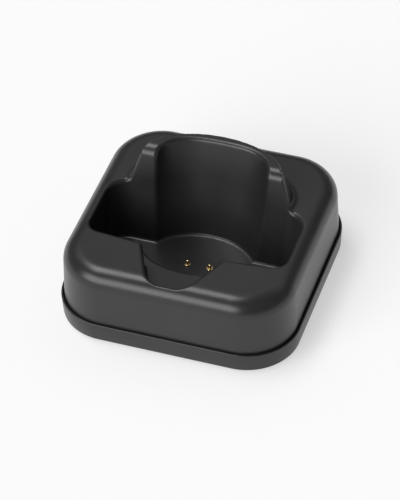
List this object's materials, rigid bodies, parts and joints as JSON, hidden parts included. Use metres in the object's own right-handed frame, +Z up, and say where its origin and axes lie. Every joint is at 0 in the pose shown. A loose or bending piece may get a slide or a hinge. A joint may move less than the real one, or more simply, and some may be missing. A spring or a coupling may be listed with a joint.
{
  "type": "hair clipper charging stand",
  "caption": "Square charging stand with a leaning oval socket, a high curved back rest and two sprung contact pins for a cordless hair clipper.",
  "frame": {"origin": "on the surface that the feet rest on, under the middle of the stand", "axes": "+Z up, -Y towards the front lip with the notch, +X to the right seen from the front"},
  "size_m": [0.1008, 0.1008, 0.0499],
  "materials": {
    "shell_plastic": "satin black with a very fine grain",
    "base_plastic": "satin black with a very fine grain",
    "inner_plastic": "plain moulded",
    "foot_rubber": "matt",
    "contact_gold": "gold plated, polished",
    "screw_steel": "zinc plated",
    "inlet_metal": "nickel plated",
    "board": "glass fibre board with green solder mask",
    "wire_red": "soft insulation",
    "wire_black": "soft insulation"
  },
  "bodies": {
    "stand": {"upper_shell": "shell_plastic", "base_plate": "base_plastic", "contact_carrier": "inner_plastic", "contact_board": "board", "foot_front_left": "foot_rubber", "foot_front_right": "foot_rubber", "foot_back_left": "foot_rubber", "foot_back_right": "foot_rubber", "case_screw_front_left": "screw_steel", "case_screw_front_right": "screw_steel", "case_screw_back_left": "screw_steel", "case_screw_back_right": "screw_steel", "pin_barrel_left": "contact_gold", "pin_barrel_right": "contact_gold", "pin_spring_left": "screw_steel", "pin_spring_right": "screw_steel", "carrier_screw_left": "screw_steel", "carrier_screw_right": "screw_steel", "power_socket": "inner_plastic", "power_socket_pin": "inlet_metal", "power_socket_leaf": "inlet_metal", "lead_wire_positive": "wire_red", "lead_wire_negative": "wire_black"},
    "plunger_left": {"pin_plunger_left": "contact_gold"},
    "plunger_right": {"pin_plunger_right": "contact_gold"}
  },
  "joints": [
    {"name": "plunger_left_slide", "type": "slide", "parent": "stand", "child": "plunger_left", "axis": [0, 0, 1], "range_m": [-0.0014, 0], "stiffness_N_per_m": 300, "springref_m": 0.001, "deforming": ["pin_spring_left"]},
    {"name": "plunger_right_slide", "type": "slide", "parent": "stand", "child": "plunger_right", "axis": [0, 0, 1], "range_m": [-0.0014, 0], "stiffness_N_per_m": 300, "springref_m": 0.001, "deforming": ["pin_spring_right"]}
  ]
}
